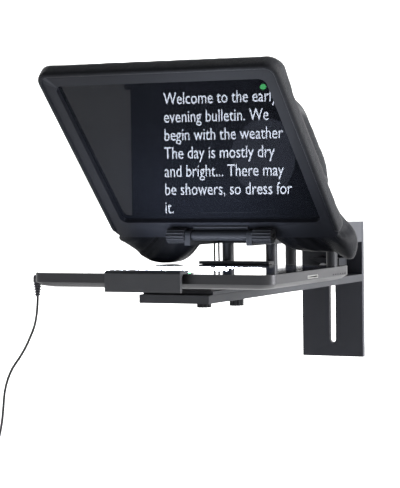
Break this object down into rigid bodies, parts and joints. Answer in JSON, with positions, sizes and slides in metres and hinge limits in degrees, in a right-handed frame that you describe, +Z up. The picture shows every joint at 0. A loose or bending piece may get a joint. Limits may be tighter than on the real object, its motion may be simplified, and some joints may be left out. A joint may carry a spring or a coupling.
{
  "type": "teleprompter",
  "caption": "Tablet teleprompter: clamped tablet tray, tilting beam-splitter mirror, fabric hood and height-adjustable camera platform on one base rail.",
  "frame": {"origin": "middle of the quarter-inch tripod thread, on the underside of the base rail", "axes": "+Y along the rail from the tablet to the camera platform, +X to the right of someone reading the mirror, +Z up"},
  "size_m": [0.3275, 0.482, 0.4743],
  "materials": {
    "anodised_black": "satin black anodised",
    "clamp_grey": "satin",
    "frame_black": "satin",
    "steel": "satin",
    "foam_black": "matt",
    "rubber_black": "matt",
    "knob_black": "matt",
    "knob_grey": "satin",
    "beam_splitter": "polished, half-silvered",
    "hood_fabric": "woven, matt",
    "board_black": "matt",
    "string_black": "braided",
    "tablet_metal": "bead-blasted anodised",
    "tablet_cell": "matt",
    "tablet_pcb": "satin",
    "tablet_screen": "gloss",
    "tablet_cover": "gloss",
    "port_steel": "satin",
    "button_black": "gloss",
    "button_silver": "satin",
    "plug_grey": "matt",
    "lead_black": "satin"
  },
  "bodies": {
    "chassis": {"base_rail": "anodised_black", "tripod_inserts": "steel", "tray_plate": "anodised_black", "tray_screws": "steel", "clamp_guide_screws": "steel", "front_posts": "anodised_black", "rear_posts": "anodised_black", "rear_post_caps": "rubber_black", "post_screws": "steel", "mirror_bracket": "anodised_black", "bracket_screws": "steel", "hood": "hood_fabric", "hood_board": "board_black", "board_screws": "steel", "lens_sleeve": "hood_fabric", "drawstring_left": "string_black", "drawstring_right": "string_black", "string_knots": "string_black", "riser_block": "anodised_black", "riser_stud": "steel", "riser_washer": "steel", "tablet_shell": "tablet_metal", "tablet_battery": "tablet_cell", "tablet_board": "tablet_pcb", "tablet_display": "tablet_screen", "tablet_glass": "tablet_cover", "tablet_dock_port": "port_steel", "tablet_jack": "rubber_black", "lead_plug": "plug_grey", "lead_cord": "lead_black", "lead_coil": "lead_black", "coil_tie": "rubber_black", "lead_tail": "lead_black", "far_plug": "plug_grey"},
    "front_clamp": {"front_clamp": "clamp_grey", "front_clamp_pad": "foam_black"},
    "rear_clamp": {"rear_clamp": "clamp_grey", "rear_clamp_pad": "foam_black"},
    "front_clamp_screw": {"front_clamp_screw": "knob_black"},
    "rear_clamp_screw": {"rear_clamp_screw": "knob_black"},
    "mirror": {"mirror_frame": "frame_black", "mirror_glass": "beam_splitter", "glass_gasket": "foam_black", "glass_retainer": "frame_black", "retainer_screws": "steel", "hinge_plate": "anodised_black", "hinge_rod": "steel"},
    "tilt_knob_right": {"tilt_knob_right": "knob_grey"},
    "tilt_knob_left": {"tilt_knob_left": "knob_grey"},
    "camera_mount": {"camera_platform": "anodised_black", "riser_plate": "anodised_black", "riser_screws": "steel"},
    "camera_washer": {"camera_washer": "rubber_black"},
    "camera_screw": {"camera_screw": "steel"},
    "riser_knob": {"riser_knob": "knob_black"},
    "home_button": {"home_button": "button_black"},
    "volume_rocker": {"volume_rocker": "button_silver"},
    "sleep_button": {"sleep_button": "button_silver"},
    "lock_switch": {"lock_switch": "button_silver"}
  },
  "joints": [
    {"name": "mirror_tilt", "type": "hinge", "parent": "chassis", "child": "mirror", "pos_m": [0, -0.08052, 0.05929], "axis": [1, 0, 0], "range_deg": [-6, 4], "deforming": ["hood"]},
    {"name": "tilt_knob_right_turn", "type": "hinge", "parent": "mirror", "child": "tilt_knob_right", "pos_m": [0, -0.08052, 0.05929], "axis": [1, 0, 0], "continuous": true},
    {"name": "tilt_knob_left_turn", "type": "hinge", "parent": "mirror", "child": "tilt_knob_left", "pos_m": [0, -0.08052, 0.05929], "axis": [1, 0, 0], "continuous": true},
    {"name": "front_clamp_slide", "type": "slide", "parent": "chassis", "child": "front_clamp", "axis": [0, -1, 0], "range_m": [0, 0.018]},
    {"name": "rear_clamp_slide", "type": "slide", "parent": "chassis", "child": "rear_clamp", "axis": [0, 1, 0], "range_m": [0, 0.016]},
    {"name": "front_clamp_screw_turn", "type": "hinge", "parent": "chassis", "child": "front_clamp_screw", "pos_m": [-0.01, -0.098, 0], "axis": [0, 0, 1], "continuous": true},
    {"name": "rear_clamp_screw_turn", "type": "hinge", "parent": "chassis", "child": "rear_clamp_screw", "pos_m": [0.01, -0.066, 0], "axis": [0, 0, 1], "continuous": true},
    {"name": "camera_height", "type": "slide", "parent": "chassis", "child": "camera_mount", "axis": [0, 0, 1], "range_m": [0, 0.08]},
    {"name": "camera_screw_slide", "type": "slide", "parent": "camera_mount", "child": "camera_washer", "axis": [0, 1, 0], "range_m": [-0.02, 0.02]},
    {"name": "camera_screw_turn", "type": "hinge", "parent": "camera_washer", "child": "camera_screw", "pos_m": [0, 0.168, 0.058], "axis": [0, 0, 1], "continuous": true},
    {"name": "riser_knob_turn", "type": "hinge", "parent": "chassis", "child": "riser_knob", "pos_m": [0, 0.225, 0.016], "axis": [0, 1, 0], "continuous": true},
    {"name": "home_button_press", "type": "slide", "parent": "chassis", "child": "home_button", "axis": [0, 0, -1], "range_m": [0, 0.0004], "stiffness_N_per_m": 1500},
    {"name": "sleep_button_press", "type": "slide", "parent": "chassis", "child": "sleep_button", "axis": [1, 0, 0], "range_m": [0, 0.0006], "stiffness_N_per_m": 1500},
    {"name": "volume_rock", "type": "hinge", "parent": "chassis", "child": "volume_rocker", "pos_m": [-0.074, -0.0475, 0.0235], "axis": [0, 0, 1], "range_deg": [-2.5, 2.5], "stiffness_Nm_per_rad": 0.25},
    {"name": "lock_switch_slide", "type": "slide", "parent": "chassis", "child": "lock_switch", "axis": [1, 0, 0], "range_m": [0, 0.004]}
  ]
}
